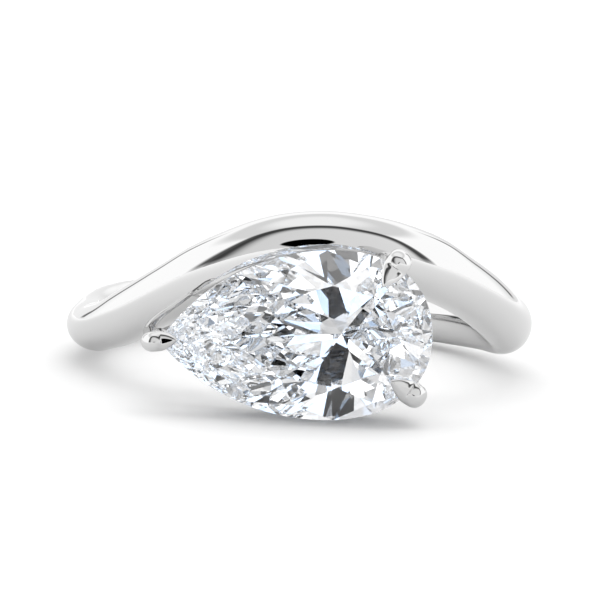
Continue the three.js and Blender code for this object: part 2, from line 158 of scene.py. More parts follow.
class RingFinish(bpy.types.PropertyGroup):
    """Colours of the metal and the stone."""

    metal: colour("Metal", (0.77, 0.77, 0.77), "Colour of the polished white metal")
    metal_deep: colour("Metal, deeper", (0.745, 0.745, 0.745), "Slightly darker patches of the polish")
    stone: colour("Stone", (1, 1, 1), "Colour of the clear stone")
    stone_cool: colour("Stone, cooler", (0.96, 0.975, 1), "Cool tint that drifts through the stone")
    floor: colour("Floor", (0.96, 0.96, 0.96), "Colour of the studio floor")
    light: FloatProperty(name="Studio light", default=1, min=0, max=5, subtype="FACTOR",
                         description="Brightness of the white tent over the ring")


# Stone: facets' meeting places as shares, the outline's fullness, and its place before the band.
TABLE_SHARE = 0.6
STAR_SHARE = 0.5
LOWER_SHARE = 0.8
FULLNESS = 2.2
GIRDLE_SIDES = 80
WIDEST_BACK = 0.0005
CULET_ACROSS = 0.00178
CULET_RAISED = 0.00048
STONE_TURN = np.radians(4.3)
CULET_CLEARANCE = 0.0006

# How near counts as one in the stone: parallel planes, a point on a plane, two corners and, by the
# angle between them, two faces of its hull, which is worked out in millimetres.
PARALLEL = 1e-6
ON_PLANE = 1e-9
SAME_CORNER = 4e-7
SAME_FACE = 0.0004
HULL_SCALE = 1000

# Basket: rails, legs and the post to the stone's point.
WIRE_SIDES = 24
RAIL_STATIONS = 360
RAIL_EASING = 17
RAIL_DROP = 0.00175
RAIL_INSET = 0.00036
BASE_RAIL_RADIUS = 0.00038
BASE_RAIL_SHARE = 0.5
BASE_CLEARANCE = 0.0004
LEG_RADIUS = 0.00036
LEG_TOP = 0.75
LEG_STATIONS = 24
POST_RADIUS = 0.00032
POST_DIP = 0.00038
POST_FOOT_ANGLE = -46
POST_SUNK = 0.8
POST_KNEE = 1.6
POST_TOP = 0.6
POST_STATIONS = 32

# Claws: distance off the outline, seat over the crown as a share of the thickness, softness of the
# ridge, and the small flat near the point by its start and run in steps and its depth as a share.
CLAW_STATIONS = 120
CLAW_SIDES = 128
CLAW_STAND_OFF = 0.00036
CLAW_SEAT = 0.46
CLAW_STEPS = -CLAW_ROWS[-1, 0]
CLAW_OVER = 0.9
SHARES_AS_LENGTHS = 0.001
RIDGE_SOFT = 0.05
FLAT_START = 0.3
FLAT_RUN = 6
FLAT_DEPTH = 0.4

# How the ring lies: its tilt, and how far the tilt's axis is turned from the X axis.
REST_TILT = np.radians(6.2015)
REST_SKEW = np.radians(-2.3407)

# Camera: roll of the picture against the ring's plane, height over it, distance, how many metres
# the picture's 600 points span, and how far the finger hole's middle lies off the picture's.
VIEW_ROLL = np.radians(2.5)
VIEW_RISE = np.radians(4)
VIEW_DISTANCE = 0.35
SENSOR_WIDTH = 36
VIEW_SPAN = 0.02635
VIEW_LEFT = 0.00003
VIEW_DOWN = 0.00104

# Floor: its size, the extra light that falls on it from above, and the painted shade near the ring: the
# share of its colour that metal and stone mirror there. That fades to all of it between two roots of the
# distance.
FLOOR_RADIUS = 0.4
FLOOR_SIDES = 96
FLOOR_LIFT = 0.75
FLOOR_PAINTED_SHADE = 0.76
FLOOR_FADE = (0.1, 0.36)

# Tent as the metal mirrors it. Middles and half sizes are across and up, for one step ahead. A
# pair of bounds says where a smooth step starts and ends, in the same measure or in heights
# between 0 on the floor and 1 overhead.
FRONT_BOUNDS = (-0.05, 0)
CARD_MIDDLE = 0.53
CARD_HALF = (1.7, 2.15)
CARD_BOUNDS = (0.98, 1.02)
CARD_GREY = 0.85
CARD_SLOPE = 0.05
SEAM_BOUNDS = (0.1, 0.4)
SEAM_FLOOR = (-0.05, 0.15)
SEAM_LOW = 0.45
SEAM_DARK = 0.92
LENS_MIDDLE = (0.03, 0.16)
LENS_HALF = (0.25, 0.19)
LENS_BOUNDS = (0.85, 1.1)
CORNER_ACROSS = 0.65
CORNER_BOUNDS = (0.03, 0.11)
CORNER_FOOT = (0, 0.05)
CORNER_TOP = (0.45, 0.6)
CORNER_DARK = 0.85
WALL_BRIGHT = 1.27
WALL_DIP = 0.4
DIP_BOUNDS = (0.64, 0.76)
TOP_RISE = 0.25
TOP_BOUNDS = (0.85, 0.97)
BEHIND_BOUNDS = (0.55, 0.9)
BEHIND_TOP = (0.25, 0.5)
BEHIND_DIP = 0.3
BEHIND_SLOPE = 0.15

# Light that reaches the eye through the stone: a dark cone round the camera, by its half angle and
# its tilt upwards in degrees, dark patches where a noise of this scale is over a level, the
# brightness elsewhere, and the cool tint with the noise that spreads it.
GEM_HOOD = 20
GEM_HOOD_EDGE = 3
GEM_TILT = -9
GEM_PATCH = 5
GEM_LOW = 0.52
GEM_LOW_EDGE = 0.03
GEM_BRIGHT = 2.3
GEM_COOL_PATCH = 3.1
GEM_COOL_BOUNDS = (0.44, 0.5)
GEM_COOL = (0.6, 0.76, 1, 1)

# Finishes: noise scales, the polish's least roughness and what hairlines add, and its ripple.
METAL_PATCH = 260
HAIRLINE = 2600
HAIRLINE_STRETCH = (1, 1, 9)
HAIRLINE_BOUNDS = (0.55, 0.8)
POLISH = 0.025
HAIRLINE_ROUGH = 0.035
RIPPLE = 320
RIPPLE_STRENGTH = 0.06
RIPPLE_DEPTH = 0.00002
STONE_DRIFT = 420
DRIFT_BOUNDS = (0.35, 0.7)
STONE_REFRACTION = 2.417
FLOOR_GRAIN = 900
FLOOR_ROUGH = 0.9
FLOOR_DEEP = 0.985

# Light paths: the stone's inner reflections count as transmission and as mirror bounces.
STONE_BOUNCES = 64
MIRROR_BOUNCES = 48
FLOOR_BOUNCES = 4


def sizes():
    """The ring's sizes in the scene."""
    return bpy.context.scene.ring_sizes


def finish():
    """The ring's colours in the scene."""
    return bpy.context.scene.ring_finish


def band_value(column, angle):
    """A table column at any angle: a cubic between neighbouring rows, whose slope at a row is the
    rise from the row before to the row after over their distance. It closes after a full turn."""
    at = BAND_TABLE[:, 0]
    value = BAND_TABLE[:, BAND_COLUMNS.index(column)]
    at = np.concatenate([at[-2:] - 360, at, at[:3] + 360])
    value = np.concatenate([value[-2:], value, value[:3]])
    slope = np.gradient(value, at)
    slope[1:-1] = (value[2:] - value[:-2]) / (at[2:] - at[:-2])
    i = np.clip(np.searchsorted(at, angle, side="right") - 1, 1, len(at) - 3)
    span = at[i + 1] - at[i]
    t = (angle - at[i]) / span
    rise = (value[i + 1] - value[i]) * t * t * (3 - 2 * t)
    lead = slope[i] * span * t * (1 - t) ** 2
    trail = slope[i + 1] * span * t * t * (t - 1)
    return value[i] + rise + lead + trail


def band_points(angle, turn):
    """Band surface by angle round the finger and turn round the section. The section is two half
    ellipses, the dome outside and the comfort curve inside, with its innermost point on the finger
    hole and its top on the table's height. Its lower half is stretched by the table's last column."""
    s = sizes()
    half = 0.5 * s.band_width * band_value("width", angle)[:, None]
    depth = np.where(np.cos(turn) >= 0, s.band_dome, s.band_comfort) * np.cos(turn)
    out = s.finger_radius + s.band_comfort + depth
    longer = 1 + np.maximum(band_value("under", angle), 0)[:, None]
    rise = half * np.sin(turn)
    up = s.crest_height * band_value("edge", angle)[:, None] - half + np.where(rise < 0, rise * longer, rise)
    a = np.radians(angle)[:, None]
    return np.stack([out * np.sin(a), -out * np.cos(a), up], -1)


def pear(turn):
    """Pear outline, along and across, by turn: the head is a slightly full ellipse quarter, each
    side of the tail an arc that leaves the widest line square and meets the other at the point."""
    s = sizes()
    turn = (np.asarray(turn, float) + 1) % 2 - 1
    half = s.stone_width / 2
    radius = (s.stone_tail ** 2 + half ** 2) / s.stone_width
    sweep = np.arcsin(s.stone_tail / radius)
    size = np.abs(turn)
    a = np.pi * np.minimum(size, 0.5)
    b = sweep * (np.maximum(size, 0.5) - 0.5) * 2
    head = s.stone_head * np.maximum(np.cos(a), 0) ** (2 / FULLNESS)
    along = np.where(size <= 0.5, head, -radius * np.sin(b)) - WIDEST_BACK
    across = np.where(size <= 0.5, half * np.sin(a) ** (2 / FULLNESS), half - radius * (1 - np.cos(b)))
    return np.stack([along, np.where(turn < 0, -1, 1) * np.maximum(across, 0)], -1)


def pear_normal(turn):
    """Outward direction of the outline: the tangent between two near points, turned square."""
    turn = np.asarray(turn, float)
    ahead = pear(turn + 0.002) - pear(turn - 0.002)
    normal = np.stack([ahead[..., 1], -ahead[..., 0]], -1)
    normal /= np.linalg.norm(normal, axis=-1, keepdims=True)
    flip = np.sum(normal * pear(turn), -1, keepdims=True) < 0
    return np.where(flip, -normal, normal)


def girdle_radius():
    """Distance of the girdle's lower edge from the finger hole's middle: hole, clearance, pavilion."""
    return sizes().finger_radius + CULET_CLEARANCE + sizes().pavilion_depth


def from_stone(along, across, height):
    """From the stone's own plane into the ring frame: turned by the stone's turn, then moved to
    the culet's place."""
    along, across, height = np.broadcast_arrays(along, across, height)
    c, n = np.cos(STONE_TURN), np.sin(STONE_TURN)
    return np.stack([
        CULET_ACROSS + along * c - across * n,
        -girdle_radius() - height,
        CULET_RAISED + along * n + across * c,
    ], -1)


def resting(points):
    """From the ring frame to the row frame: the resting tilt about a near level axis, then the
    move that brings the stone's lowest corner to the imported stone's."""
    axis = np.array([-np.cos(REST_SKEW), np.sin(REST_SKEW), 0])
    turn = np.array(Matrix.Rotation(REST_TILT, 3, Vector(axis)))
    corner = (stone_corners() @ turn.T).min(0)
    return points @ turn.T + (np.array(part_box("pear_stone")[0]) - corner)


def meets(turns, depth, share, inset):
    """Where neighbouring main facets cross at a share of the depth: each main falls from the
    outline towards the middle, and two straight lines cross at that level."""
    foot = pear(turns)
    normal = pear_normal(turns)
    reach = np.sum(normal * foot, -1)
    slope = depth / (reach * (1 - inset))
    level = depth * share
    a = reach - level / slope
    b = np.roll(a, -1)
    m = np.roll(normal, -1, 0)
    det = normal[:, 0] * m[:, 1] - normal[:, 1] * m[:, 0]
    x = (a * m[:, 1] - b * normal[:, 1]) / det
    y = (b * normal[:, 0] - a * m[:, 0]) / det
    return np.stack([x, y, np.full(len(x), level)], -1)


def lifted(points, height):
    """Flat points of the outline, all put at one height."""
    return np.concatenate([points, np.full((len(points), 1), height)], 1)


def stone_planes():
    """Facet planes (normal, distance), each through three named points of the cut: stars, mains
    and halves over the girdle, mains and halves under it, the girdle's wall and the table."""
    s = sizes()
    top = s.girdle + s.crown_height
    main = pear(CROWN_TURNS)
    ends = np.append(CROWN_TURNS[1:], 2)
    half = pear((CROWN_TURNS + ends) / 2)
    following = np.roll(main, -1, 0)
    star = meets(CROWN_TURNS, s.crown_height, 1 - STAR_SHARE, TABLE_SHARE) + [0, 0, s.girdle]
    table = main * TABLE_SHARE
    under = pear(UNDER_TURNS)
    ends = np.append(UNDER_TURNS[1:], 2)
    under_half = pear((UNDER_TURNS + ends) / 2)
    low = meets(UNDER_TURNS, s.pavilion_depth, LOWER_SHARE, 0) * [1, 1, -1]
    culet = np.tile([0, 0, -s.pavilion_depth], (len(low), 1))
    wall = pear(2 * np.arange(GIRDLE_SIDES) / GIRDLE_SIDES)
    triples = [
        (lifted(table, top), lifted(np.roll(table, -1, 0), top), star),
        (star, np.roll(star, 1, 0), lifted(table, top)),
        (star, lifted(main, s.girdle), lifted(half, s.girdle)),
        (star, lifted(half, s.girdle), lifted(following, s.girdle)),
        (low, np.roll(low, 1, 0), culet),
        (low, lifted(under, 0), lifted(under_half, 0)),
        (low, lifted(under_half, 0), lifted(np.roll(under, -1, 0), 0)),
        (lifted(wall, 0), lifted(np.roll(wall, -1, 0), 0), lifted(wall, s.girdle)),
    ]
    a, b, c = (np.concatenate([t[k] for t in triples]) for k in range(3))
    normal = np.cross(b - a, c - a)
    normal /= np.linalg.norm(normal, axis=1, keepdims=True)
    distance = np.sum(normal * a, 1)
    normal[distance < 0] *= -1
    distance = np.abs(distance)
    return np.vstack([normal, [0, 0, 1]]), np.append(distance, top)


def plane_corners(normal, distance):
    """Corners of the body inside all planes: each three planes meet in one point, and those that
    lie outside no plane are kept once."""
    found = []
    count = len(normal)
    for i in range(count - 2):
        j, k = np.triu_indices(count - i - 1, 1)
        j, k = j + i + 1, k + i + 1
        cross = np.cross(normal[j], normal[k])
        det = cross @ normal[i]
        keep = np.abs(det) > PARALLEL
        j, k, cross, det = j[keep], k[keep], cross[keep], det[keep]
        point = distance[i] * cross
        point += distance[j][:, None] * np.cross(normal[k], normal[i])
        point += distance[k][:, None] * np.cross(normal[i], normal[j])
        point /= det[:, None]
        inside = np.all(point @ normal.T < distance + ON_PLANE, axis=1)
        found.append(point[inside])
    found = np.concatenate(found)
    _, first = np.unique(np.round(found / SAME_CORNER).astype(np.int64), axis=0, return_index=True)
    return found[np.sort(first)]


CORNERS = []


def stone_corners():
    """The stone's corners in the ring frame, worked out once and kept."""
    if not CORNERS:
        p = plane_corners(*stone_planes())
        CORNERS.append(from_stone(p[:, 0], p[:, 1], p[:, 2]))
    return CORNERS[0]


def new_object(name, mesh, material, smooth=True):
    """Puts a finished mesh into the scene, shaded smooth or flat, riding on the part."""
    mesh.materials.append(material)
    mesh.polygons.foreach_set("use_smooth", np.full(len(mesh.polygons), smooth))
    mesh.update()
    piece = bpy.data.objects.new(name, mesh)
    bpy.context.scene.collection.objects.link(piece)
    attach(piece, "root")
    return piece


def loft_faces(rows, sides, start, closed):
    """Quads between neighbouring rows of a grid whose rows are loops."""
    i = np.arange(rows if closed else rows - 1)[:, None]
    k = np.arange(sides)[None, :]
    a = i * sides + k
    b = i * sides + (k + 1) % sides
    c = ((i + 1) % rows) * sides + (k + 1) % sides
    d = ((i + 1) % rows) * sides + k
    return np.stack(np.broadcast_arrays(a, b, c, d), -1).reshape(-1, 4) + start


def surface_mesh(name, grids):
    """One mesh of closed surfaces. Each grid is (points by row and side, closed); an open grid's
    first and last rows shrink to a pole. Faces are turned outwards by the sign of the volume."""
    vertices, faces, count = [], [], 0
    for points, closed in grids:
        rows, sides = points.shape[:2]
        flat = points.reshape(-1, 3)
        quads = loft_faces(rows, sides, 0, closed)
        tris = np.zeros((0, 3), int)
        if not closed:
            k = np.arange(sides)
            after = (k + 1) % sides
            last = (rows - 1) * sides
            first_fan = np.stack([np.full(sides, len(flat)), after, k], -1)
            last_fan = np.stack([np.full(sides, len(flat) + 1), last + k, last + after], -1)
            tris = np.concatenate([first_fan, last_fan])
            flat = np.vstack([flat, points[0].mean(0), points[-1].mean(0)])
        split = np.concatenate([quads[:, [0, 1, 2]], quads[:, [0, 2, 3]], tris])
        p = flat[split] - flat.mean(0)
        if np.sum(p[:, 0] * np.cross(p[:, 1], p[:, 2])) < 0:
            quads, tris = quads[:, ::-1], tris[:, ::-1]
        vertices.append(flat)
        faces += (quads + count).tolist() + (tris + count).tolist()
        count += len(flat)
    mesh = bpy.data.meshes.new(name)
    mesh.from_pydata(resting(np.concatenate(vertices)).tolist(), [], faces)
    return mesh


def along_path(points, count):
    """A smooth run through a few points, evenly spaced: cubics between them with slopes taken
    from their neighbours."""
    points = np.asarray(points, float)
    at = np.append(0, np.cumsum(np.linalg.norm(np.diff(points, axis=0), axis=1)))
    slope = np.gradient(points, at, axis=0)
    t = np.linspace(0, at[-1], count)
    i = np.clip(np.searchsorted(at, t, side="right") - 1, 0, len(at) - 2)
    span = (at[i + 1] - at[i])[:, None]
    u = (t - at[i])[:, None] / span
    return (points[i] + (points[i + 1] - points[i]) * u * u * (3 - 2 * u)
            + slope[i] * span * u * (1 - u) ** 2 + slope[i + 1] * span * u * u * (u - 1))


def tube(path, radius, side, closed=False):
    """A round wire: circles of a radius square to the path, with one axis along a given side."""
    if closed:
        tangent = np.roll(path, -1, 0) - np.roll(path, 1, 0)
    else:
        tangent = np.gradient(path, axis=0)
    tangent /= np.linalg.norm(tangent, axis=1, keepdims=True)
    across = np.cross(tangent, side)
    across /= np.linalg.norm(across, axis=1, keepdims=True)
    level = np.cross(across, tangent)
    t = np.linspace(0, 2 * np.pi, WIRE_SIDES, endpoint=False)[None, :, None]
    radius = np.broadcast_to(radius, len(path))[:, None, None]
    return path[:, None] + radius * (np.cos(t) * across[:, None] + np.sin(t) * level[:, None])


def pear_rail(share, inset, height, radius):
    """Closed wire along the pear outline, drawn in or scaled. The outline is taken at even turns
    and eased by a short running average, which rounds it at the point."""
    turn = -1 + 2 * (np.arange(RAIL_STATIONS) + 0.5) / RAIL_STATIONS
    flat = (pear(turn) - inset * pear_normal(turn)) * share
    kernel = np.hanning(RAIL_EASING)
    kernel /= kernel.sum()
    reach = RAIL_EASING // 2
    padded = np.concatenate([flat[-reach:], flat, flat[:reach]])
    flat = np.stack([np.convolve(padded[:, k], kernel, "valid") for k in range(2)], -1)
    path = from_stone(flat[:, 0], flat[:, 1], height)
    return tube(path, radius, np.array([0, -1.0, 0]), closed=True), True


def crown_height(inset, turn):
    """Height of the crown over the girdle's lower edge, a distance in from the outline."""
    s = sizes()
    slope = s.crown_height / (np.dot(pear_normal(turn), pear(turn)) * (1 - TABLE_SHARE))
    return s.girdle + np.minimum(inset * slope, s.crown_height)


def claw(turn, aim, width, reach):
    """A claw: loops carried up the rows, outside the girdle, over it and down to a point. Outside
    the girdle a loop is an ellipse. Over the stone its outer half becomes sqrt(1 - v) with v the
    distance from its middle, which leaves a fine ridge, and a small leaf shaped flat cuts the ridge
    near the point: 1 less the depth times sqrt(w) (1 - w), with w its share of the run."""
    s = sizes()
    foot, normal = pear(turn), pear_normal(turn)
    a = np.radians(aim)
    normal = np.array([
        normal[0] * np.cos(a) - normal[1] * np.sin(a),
        normal[0] * np.sin(a) + normal[1] * np.cos(a),
    ])
    side = np.array([-normal[1], normal[0]])
    step = s.claw_reach * reach / CLAW_STEPS
    out, rise, wide, thick = CLAW_ROWS.T
    crown = crown_height(np.maximum(-step * out, 0), turn)
    seat = np.where(rise > CLAW_OVER, CLAW_SEAT * s.claw_thickness * thick, 0)
    rise = np.where(rise < 0, RAIL_DROP, crown) * rise + seat
    out = np.where(out > 0, CLAW_STAND_OFF, step) * out
    rows = np.column_stack([out, rise, wide * SHARES_AS_LENGTHS, thick * SHARES_AS_LENGTHS])
    rows = along_path(rows, CLAW_STATIONS)
    wide, thick = rows[:, 2:3] / SHARES_AS_LENGTHS, rows[:, 3:4] / SHARES_AS_LENGTHS
    run = np.gradient(rows[:, :2], axis=0)
    run /= np.linalg.norm(run, axis=1, keepdims=True)
    t = np.linspace(0, 2 * np.pi, CLAW_SIDES, endpoint=False)[None]
    sideways = 0.5 * s.claw_width * width * wide * np.cos(t)
    v = np.sqrt((np.cos(t) ** 2 + RIDGE_SOFT ** 2) / (1 + RIDGE_SOFT ** 2))
    v = np.maximum((v - v.min()) / (1 - v.min()), 0)
    w = np.clip((-rows[:, 0:1] / step - FLAT_START) / FLAT_RUN, 0, 1)
    flat = 1 - FLAT_DEPTH * np.sqrt(w) * (1 - w)
    over = np.clip(1 - rows[:, 0:1] / CLAW_STAND_OFF, 0, 1)
    ridge = over * np.sqrt(1 - v) + (1 - over) * np.sin(t)
    outer = np.where(np.sin(t) > 0, np.minimum(ridge, flat), np.sin(t))
    bulge = 0.5 * s.claw_thickness * thick * outer
    off = rows[:, 0:1] + run[:, 1:2] * bulge
    height = rows[:, 1:2] - run[:, 0:1] * bulge
    along = foot[0] + normal[0] * off + side[0] * sideways
    across = foot[1] + normal[1] * off + side[1] * sideways
    return from_stone(along, across, height), False


def base_height():
    """Height of the base rail's middle: clear of the finger hole by its radius and a gap."""
    return -(girdle_radius() - sizes().finger_radius - BASE_CLEARANCE - BASE_RAIL_RADIUS)


def leg(turn):
    """Post under a claw: a wire through three points, from the gallery rail down to the base rail."""
    high = pear(turn)
    low = high * BASE_RAIL_SHARE
    middle = (high + low) / 2
    path = along_path([
        from_stone(high[0], high[1], -LEG_TOP * RAIL_DROP),
        from_stone(middle[0], middle[1], 0.5 * (base_height() - RAIL_DROP)),
        from_stone(low[0], low[1], base_height()),
    ], LEG_STATIONS)
    return tube(path, LEG_RADIUS, np.array([0.3, 0.1, 0.95])), False


def point_post():
    """Post from inside the band's lower edge to the claw at the stone's point: a wire through three
    points, of which the middle one dips a little."""
    s = sizes()
    turn = np.linspace(0, 2 * np.pi, SECTION_SAMPLES)[None]
    section = band_points(np.array([POST_FOOT_ANGLE]), turn)[0]
    a = np.radians(POST_FOOT_ANGLE)
    deep = s.finger_radius + s.band_comfort
    tip = pear(1)
    path = along_path([
        [deep * np.sin(a), -deep * np.cos(a), section[:, 2].min() + POST_SUNK * POST_RADIUS],
        from_stone(tip[0] - CLAW_STAND_OFF, -POST_DIP, -POST_KNEE * RAIL_DROP),
        from_stone(tip[0] - 0.5 * CLAW_STAND_OFF, 0, -POST_TOP * RAIL_DROP),
    ], POST_STATIONS)
    return tube(path, POST_RADIUS, np.array([0, 0.1, 1.0])), False


class Value:
    """A socket in an expression: each operator adds its Math node."""

    def __init__(self, nodes, socket):
        self.nodes = nodes
        self.socket = socket

    def math(self, operation, *others):
        """One Math node on this value and others."""
        node = self.nodes.add("ShaderNodeMath", {"operation": operation}, dict(enumerate((self, *others))))
        return self.nodes.value(node, 0)

    def __add__(self, other):
        return self.math("ADD", other)

    def __sub__(self, other):
        return self.math("SUBTRACT", other)

    def __rsub__(self, other):
        return (self * -1).math("ADD", other)

    def __mul__(self, other):
        return self.math("MULTIPLY", other)

    def __truediv__(self, other):
        return self.math("DIVIDE", other)

    def __pow__(self, other):
        return self.math("POWER", other)

    __radd__ = __add__
    __rmul__ = __mul__


class Nodes:
    """Adds nodes to one tree."""

    def __init__(self, tree):
        self.tree = tree
        tree.nodes.clear()

    def add(self, kind, settings=None, inputs=None):
        """One node of any type: its settings are set first, then its sockets' values or links."""
        node = self.tree.nodes.new(kind)
        for name, setting in (settings or {}).items():
            setattr(node, name, setting)
        for key, given in (inputs or {}).items():
            given = given.socket if isinstance(given, Value) else given
            if isinstance(given, bpy.types.NodeSocket):
                self.tree.links.new(given, node.inputs[key])
            else:
                node.inputs[key].default_value = given
        return node

    def value(self, node, output):
        """An output of a node, ready for an expression."""
        return Value(self, node.outputs[output])

    def step(self, value, low, high):
        """0 below low, 1 above high, smooth between."""
        node = self.add("ShaderNodeMapRange", {"interpolation_type": "SMOOTHSTEP"},
                        {"Value": value, "From Min": low, "From Max": high})
        return self.value(node, "Result")

    def mix(self, factor, first, second):
        """A colour between two, by a factor."""
        node = self.add("ShaderNodeMix", {"data_type": "RGBA"}, {"Factor": factor, 6: first, 7: second})
        return node.outputs[2]

    def noise(self, vector, scale, detail, stretch=(1, 1, 1)):
        """A noise over a place that is stretched first."""
        mapping = self.add("ShaderNodeMapping", None, {"Vector": vector, "Scale": stretch})
        node = self.add("ShaderNodeTexNoise", None,
                        {"Vector": mapping.outputs[0], "Scale": scale, "Detail": detail})
        return self.value(node, "Fac")


def rgba(colour):
    """A colour with full opacity."""
    return (*colour, 1)


def new_material(name):
    """An empty material and the nodes that fill it."""
    material = bpy.data.materials.new(name)
    material.use_nodes = True
    return material, Nodes(material.node_tree)


def polished_metal():
    """Polished white metal: near mirror, with faint patches in its colour, fine hairlines from
    the buffing wheel in its roughness and a very low ripple in its surface."""
    material, nodes = new_material("polished_white_metal")
    place = nodes.add("ShaderNodeTexCoord").outputs["Object"]
    patches = nodes.noise(place, METAL_PATCH, 2)
    hairlines = nodes.noise(place, HAIRLINE, 3, HAIRLINE_STRETCH)
    ripple = nodes.noise(place, RIPPLE, 1)
    shader = nodes.add("ShaderNodeBsdfPrincipled", None, {
        "Metallic": 1.0,
        "Base Color": nodes.mix(patches, rgba(finish().metal_deep), rgba(finish().metal)),
        "Roughness": nodes.step(hairlines, *HAIRLINE_BOUNDS) * HAIRLINE_ROUGH + POLISH,
        "Normal": nodes.add("ShaderNodeBump", None, {
            "Strength": RIPPLE_STRENGTH, "Distance": RIPPLE_DEPTH, "Height": ripple}).outputs[0],
    })
    nodes.add("ShaderNodeOutputMaterial", None, {"Surface": shader.outputs[0]})
    return material


def clear_stone():
    """Clear cut stone: high refraction, no roughness, a cool tint that drifts through it."""
    material, nodes = new_material("clear_cut_stone")
    place = nodes.add("ShaderNodeTexCoord").outputs["Object"]
    drift = nodes.step(nodes.noise(place, STONE_DRIFT, 2), *DRIFT_BOUNDS)
    shader = nodes.add("ShaderNodeBsdfPrincipled", None, {
        "Base Color": nodes.mix(drift, rgba(finish().stone), rgba(finish().stone_cool)),
        "Roughness": 0.0,
        "IOR": STONE_REFRACTION,
        "Transmission Weight": 1.0,
    })
    nodes.add("ShaderNodeOutputMaterial", None, {"Surface": shader.outputs[0]})
    return material


def studio_floor():
    """Pale matt floor with a barely visible grain. The metal and the stone mirror it darker near
    the ring, a painted shade that fades by a smooth step over the root of the distance."""
    material, nodes = new_material("studio_floor")
    place = nodes.add("ShaderNodeTexCoord").outputs["Object"]
    grain = nodes.noise(place, FLOOR_GRAIN, 3)
    tone = Vector(finish().floor)
    seen = nodes.add("ShaderNodeLightPath").outputs["Is Camera Ray"]
    pale = nodes.mix(grain, rgba(tone * FLOOR_DEEP), rgba(tone))
    parts = nodes.add("ShaderNodeSeparateXYZ", None, {0: place})
    x, y = (nodes.value(parts, k) for k in range(2))
    # Painted shade: near the ring, metal and stone mirror the floor darker than the camera sees it.
    away = nodes.step((x * x + y * y) ** 0.25, *FLOOR_FADE)
    shaded_mirror_tone = nodes.mix(away, rgba(tone * FLOOR_PAINTED_SHADE), rgba(tone))
    shader = nodes.add("ShaderNodeBsdfPrincipled", None, {
        "Base Color": nodes.mix(seen, shaded_mirror_tone, pale),
        "Roughness": FLOOR_ROUGH,
        "Specular IOR Level": 0.0,
    })
    nodes.add("ShaderNodeOutputMaterial", None, {"Surface": shader.outputs[0]})
    return material


METAL = []


def metal():
    """The polished metal, made once and shared by the metal's pieces."""
    if not METAL:
        METAL.append(polished_metal())
    return METAL[0]


def metal_piece(name, grids):
    """One piece of the soldered metal."""
    piece = new_object(name, surface_mesh(name, grids), metal())
    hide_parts("ring_metal")
    return piece


class RING_OT_band(bpy.types.Operator):
    """Make the swooping band."""

    bl_idname = "ring.band"
    bl_label = "Band"

    def execute(self, context):
        angle = -180 + 360 * np.arange(BAND_STATIONS) / BAND_STATIONS
        turn = 2 * np.pi * np.arange(BAND_SIDES)[None] / BAND_SIDES
        metal_piece("band", [(band_points(angle, turn), True)])
        return {"FINISHED"}


class RING_OT_basket(bpy.types.Operator):
    """Make the gallery rail, the base rail and the posts between them."""

    bl_idname = "ring.basket"
    bl_label = "Basket"

    def execute(self, context):
        grids = [
            pear_rail(1, RAIL_INSET, -RAIL_DROP, sizes().rail_radius),
            pear_rail(BASE_RAIL_SHARE, 0, base_height(), BASE_RAIL_RADIUS),
            point_post(),
        ]
        metal_piece("basket", grids + [leg(row[0]) for row in CLAWS.values()])
        return {"FINISHED"}


class RING_OT_claws(bpy.types.Operator):
    """Make the three drop shaped claws."""

    bl_idname = "ring.claws"
    bl_label = "Claws"

    def execute(self, context):
        metal_piece("claws", [claw(*row) for row in CLAWS.values()])
        return {"FINISHED"}


class RING_OT_stone(bpy.types.Operator):
    """Make the pear cut stone, with its table, stars, mains, halves and girdle."""

    bl_idname = "ring.stone"
    bl_label = "Stone"

    def execute(self, context):
        mesh = bpy.data.meshes.new("cut_stone")
        mesh.from_pydata((resting(stone_corners()) * HULL_SCALE).tolist(), [], [])
        work = bmesh.new()
        work.from_mesh(mesh)
        bmesh.ops.convex_hull(work, input=work.verts)
        bmesh.ops.dissolve_limit(work, angle_limit=SAME_FACE, verts=work.verts, edges=work.edges)
        bmesh.ops.scale(work, vec=(1 / HULL_SCALE,) * 3, verts=work.verts)
        bmesh.ops.recalc_face_normals(work, faces=work.faces)
        work.to_mesh(mesh)
        work.free()
        piece = new_object("cut_stone", mesh, clear_stone(), smooth=False)
        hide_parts("pear_stone")
        return {"FINISHED"}


def lay_floor(scene):
    """A flat disc under the ring."""
    turn = np.linspace(0, 2 * np.pi, FLOOR_SIDES, endpoint=False)
    rim = np.column_stack([np.cos(turn), np.sin(turn), np.zeros(FLOOR_SIDES)]) * FLOOR_RADIUS
    mesh = bpy.data.meshes.new("floor")
    mesh.from_pydata(rim.tolist(), [], [list(range(FLOOR_SIDES))])
    mesh.materials.append(studio_floor())
    floor = bpy.data.objects.new("floor", mesh)
    scene.collection.objects.link(floor)


